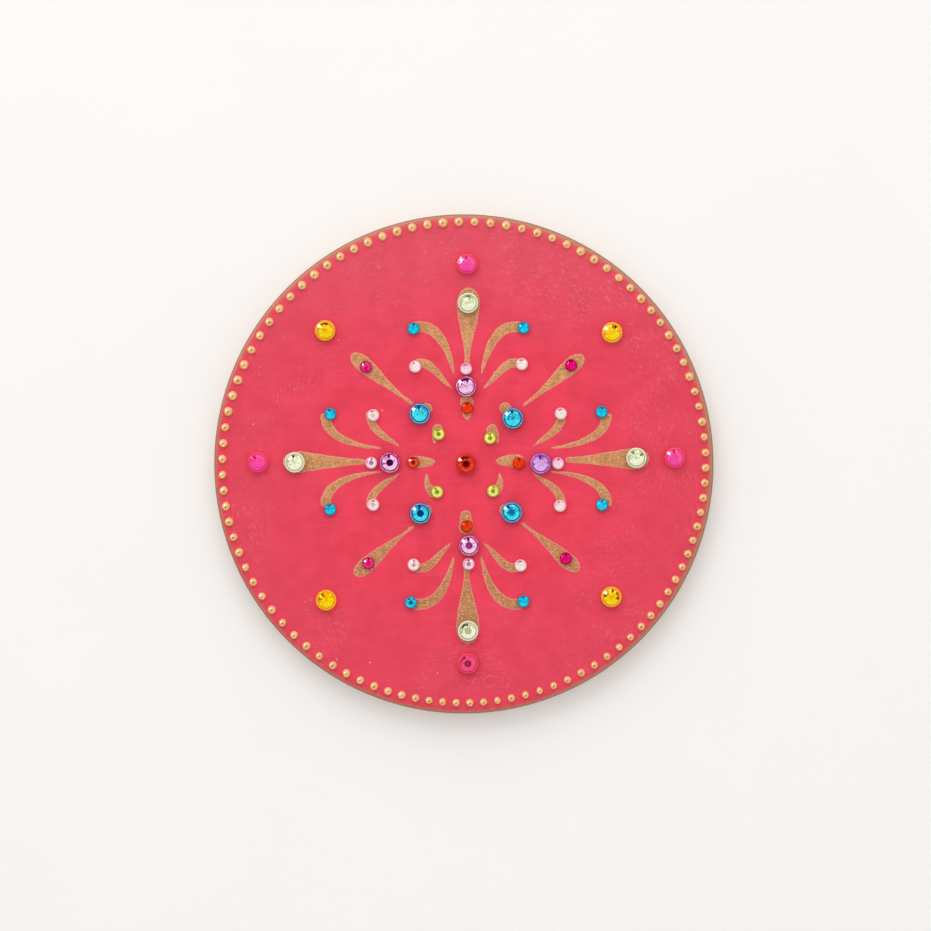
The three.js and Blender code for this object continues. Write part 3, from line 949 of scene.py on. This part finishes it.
def stone_mesh(name, radius, height, draw):
    """A stone about the origin, with a tone of painted light and shade and a polish for each facet."""
    large = radius > LARGE_RADIUS
    bands, sides = (LARGE_BANDS, LARGE_SIDES) if large else (SMALL_BANDS, SMALL_SIDES)
    shine = 1 if name in CATCH_LIGHT else DULL_SHINE
    turn = GLINT_WAY + draw.uniform(-3, 3) - 180 / sides
    points, faces, owners = facets(bands, sides, turn, radius, height)
    mesh = bpy.data.meshes.new(name)
    mesh.from_pydata(points, [], faces)
    tones = mesh.attributes.new("tone", "FLOAT", "FACE").data
    polish = mesh.attributes.new("polish", "FLOAT", "FACE").data
    crown = len(bands) - CROWN_BANDS
    for face, band in zip(mesh.polygons, owners):
        out = face.center.to_2d() / radius
        tone = facet_tone(bands[band][3], band >= crown, out, draw)
        # The middle of the table is painted dark: a painted dark reflection
        if band > crown + 1:
            tone += (PAINTED_DARKEST - tone) * PAINTED_PUPILS.get(name, FAINT_PAINTED_PUPIL)
        tones[face.index].value = tone
        towards_lamp = band == crown - 1 and out.angle(pointing(GLINT_WAY)) < math.pi / sides
        polished = 1 if band >= crown or towards_lamp else SIDE_SHINE
        polish[face.index].value = polished * shine
    # The painted dark facets: the two crown facets nearest each way are painted near black and lose
    # their polish
    outer_crown = [f for f, band in zip(mesh.polygons, owners) if band in (crown, crown + 1)]
    for way in PAINTED_DARK_FACET_WAYS.get(name, USUAL_PAINTED_DARK_FACET_WAYS):
        spot = pointing(way + draw.uniform(-5, 5)) * PAINTED_DARK_FACET_RADIUS * radius
        outer_crown.sort(key=lambda face: (face.center.to_2d() - spot).length)
        for face in outer_crown[:2]:
            tones[face.index].value = draw.uniform(0.0, 0.1)
            polish[face.index].value = 0
    return mesh


def stones():
    """Each stone of the frame, as its kind."""
    draw = random.Random(5)
    finishes = {kind: stone_finish(kind, shades) for kind, shades in KINDS.items()}
    slots = {part["node"]: part["material_slot"] for part in frame["record"]["subparts"]}
    for node in sorted(slots):
        if not node.startswith("stone_"):
            continue
        low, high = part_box(node)
        name = node.removeprefix("stone_")
        kind = ODD_TINTS.get(name, slots[node].removeprefix("gem_"))
        mesh = stone_mesh(name, (high.x - low.x) / 2, high.z - low.z, draw)
        middle = (low + high) / 2
        mesh.transform(Matrix.Translation((middle.x, middle.y, low.z)))
        piece("gem_" + name, mesh, slots[node], finishes[kind], node)


def sheet(name, corners, height, material):
    """A flat level piece of the studio."""
    mesh = bpy.data.meshes.new(name)
    mesh.from_pydata([(x, y, height) for x, y in corners], [], [(0, 1, 2, 3)])
    mesh.materials.append(material)
    made = bpy.data.objects.new(name, mesh)
    bpy.context.scene.collection.objects.link(made)
    made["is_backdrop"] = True
    return made


def floor():
    """The pale surface that the disc lies on."""
    finish = Finish("floor", Roughness=0.9, Metallic=0.0)
    cloud = finish.noise(finish.place(), 40 * MM, 3.0)
    finish.paint(finish.blend(cloud, colour("fbf8f6"), colour("f9f5f3")))
    reach = 3.0
    corners = [(-reach, -reach), (reach, -reach), (reach, reach), (-reach, reach)]
    sheet("floor", corners, -WELD, finish.material)


def black_card():
    """A dark card over the disc, unseen itself, which the tops of the dots and the stones reflect."""
    finish = Finish("black_card", Roughness=0.9)
    grain = finish.noise(finish.place(), 5 * MM)
    finish.paint(finish.blend(grain, colour("0a0a0c"), colour("141416")))
    left, right = -200 * MM, 200 * MM
    bottom, top = -420 * MM, 90 * MM
    corners = [(left, bottom), (left, top), (right, top), (right, bottom)]
    card = sheet("black_card", corners, 460 * MM, finish.material)
    card.visible_camera = False
    card.visible_diffuse = False
    card.visible_shadow = False


def lamp(name, azimuth, elevation, distance, width, depth, power):
    """A soft lamp that looks at the disc. Azimuth is in degrees from +X towards +Y."""
    data = bpy.data.lights.new(name, "AREA")
    data.shape = "RECTANGLE"
    data.size = width
    data.size_y = depth
    data.energy = power
    made = bpy.data.objects.new(name, data)
    a, e = math.radians(azimuth), math.radians(elevation)
    way = Vector((math.cos(a) * math.cos(e), math.sin(a) * math.cos(e), math.sin(e)))
    made.location = way * distance
    made.rotation_euler = way.to_track_quat("Z", "Y").to_euler()
    bpy.context.scene.collection.objects.link(made)
    return made


def world_light():
    """Soft white light from all round, brighter on the window's side."""
    world = bpy.data.worlds.new("studio")
    world.use_nodes = True
    bpy.context.scene.world = world
    nodes, links = world.node_tree.nodes, world.node_tree.links
    background = nodes["Background"]
    place = nodes.new("ShaderNodeTexCoord")
    split = nodes.new("ShaderNodeSeparateXYZ")
    links.new(place.outputs["Generated"], split.inputs[0])
    ramp = nodes.new("ShaderNodeMapRange")
    ramp.inputs["From Min"].default_value = -1
    ramp.inputs["From Max"].default_value = 1
    ramp.inputs["To Min"].default_value = SURROUND_LOW
    ramp.inputs["To Max"].default_value = SURROUND_HIGH
    links.new(split.outputs["Y"], ramp.inputs["Value"])
    links.new(ramp.outputs[0], background.inputs["Strength"])
    background.inputs["Color"].default_value = (1, 1, 1, 1)


def camera():
    """Straight above the face, framed as the photograph."""
    data = bpy.data.cameras.new("camera")
    pixels_per_metre = DISC_RADIUS_PIXELS / BOARD_RADIUS
    width = PHOTO_PIXELS / pixels_per_metre
    data.sensor_width = SENSOR_WIDTH / MM
    data.lens = data.sensor_width * CAMERA_HEIGHT / width
    data.clip_start = 10 * MM
    data.clip_end = 10
    made = bpy.data.objects.new("camera", data)
    middle = PHOTO_PIXELS / 2
    x = (middle - DISC_CENTRE_PIXELS[0]) / pixels_per_metre
    y = (DISC_CENTRE_PIXELS[1] - middle) / pixels_per_metre
    made.location = (x, y, BOARD_HIGH.z + CAMERA_HEIGHT)
    bpy.context.scene.collection.objects.link(made)
    bpy.context.scene.camera = made


camera()
board()
ground_coat()
painted_coats()
piped_dots()
stones()
floor()
black_card()
lamp("window", azimuth=98, elevation=33, distance=1.3, width=1.3, depth=1.1, power=6.2)
glint = lamp("glint", azimuth=145, elevation=46, distance=1, width=0.4, depth=0.4, power=11)
glint.visible_diffuse = False
world_light()
bpy.context.scene.view_settings.view_transform = "Standard"

seen_low, seen_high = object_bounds()
boxes = {"cad": (cad_low, cad_high), "visual": (seen_low, seen_high)}
{name: [list(low), list(high)] for name, (low, high) in boxes.items()}
